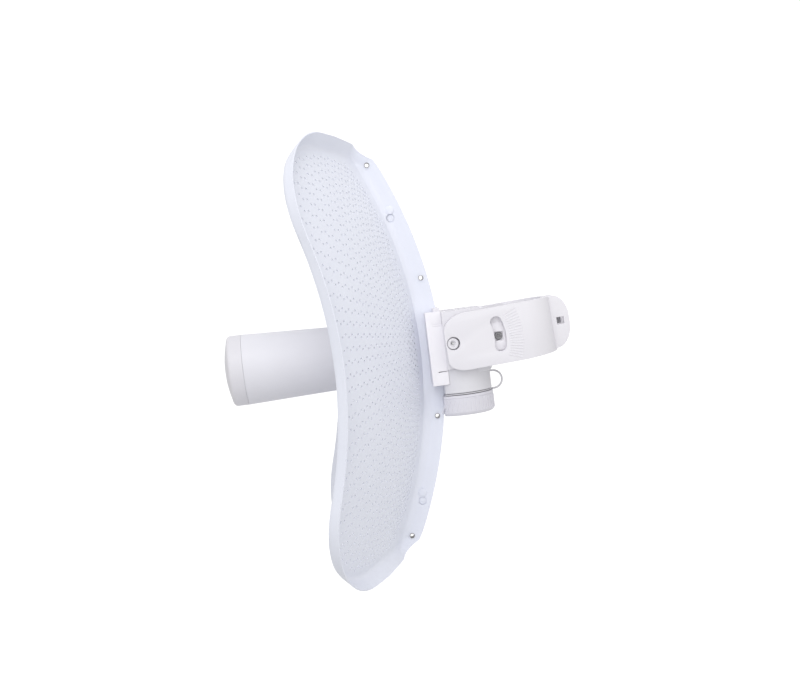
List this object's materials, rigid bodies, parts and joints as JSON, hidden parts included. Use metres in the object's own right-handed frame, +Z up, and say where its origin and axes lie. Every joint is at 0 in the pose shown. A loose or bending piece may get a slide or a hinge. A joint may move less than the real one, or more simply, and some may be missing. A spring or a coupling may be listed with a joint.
{
  "type": "wireless bridge dish antenna",
  "caption": "Sheet reflector in two halves with a central feed tube, on a tilting plastic bracket that clamps round an upright pole.",
  "frame": {"origin": "middle of the flat strip in the saddle that bears on the pole", "axes": "+Z up the pole, +X from the dish back to the pole, +Y to the right as seen along the beam; the bracket is level and the dish looks along -X, raised 2.6 degrees"},
  "size_m": [0.2838, 0.2728, 0.3579],
  "materials": {
    "painted_sheet": "satin powder coat",
    "white_plastic": "fine moulded texture",
    "cap_plastic": "fine moulded texture",
    "grey_rubber": "matt",
    "dark_steel": "blackened"
  },
  "bodies": {
    "pole_bracket": {"bracket_arm_left": "white_plastic", "bracket_arm_right": "white_plastic", "pole_saddle": "white_plastic"},
    "dish_assembly": {"reflector_left": "painted_sheet", "reflector_right": "painted_sheet", "feed_tube": "white_plastic", "feed_cap": "cap_plastic", "feed_collar": "white_plastic", "feed_spine": "white_plastic", "clip_cheek_left": "white_plastic", "clip_cheek_right": "white_plastic", "clip_back_plate": "white_plastic", "tilt_block": "white_plastic", "tilt_lug_left": "white_plastic", "tilt_lug_right": "white_plastic", "pivot_boss_left": "white_plastic", "pivot_boss_right": "white_plastic", "lock_bolt_left": "dark_steel", "lock_bolt_right": "dark_steel", "lock_nut_left": "dark_steel", "lock_nut_right": "dark_steel", "port_housing": "white_plastic", "port_gasket": "grey_rubber", "port_cap": "cap_plastic", "cap_tether": "grey_rubber"}
  },
  "joints": [
    {"name": "elevation_tilt", "type": "hinge", "parent": "pole_bracket", "child": "dish_assembly", "pos_m": [-0.04293, 0, 0], "axis": [0, 1, 0], "range_deg": [-17.6, 11.4]}
  ]
}
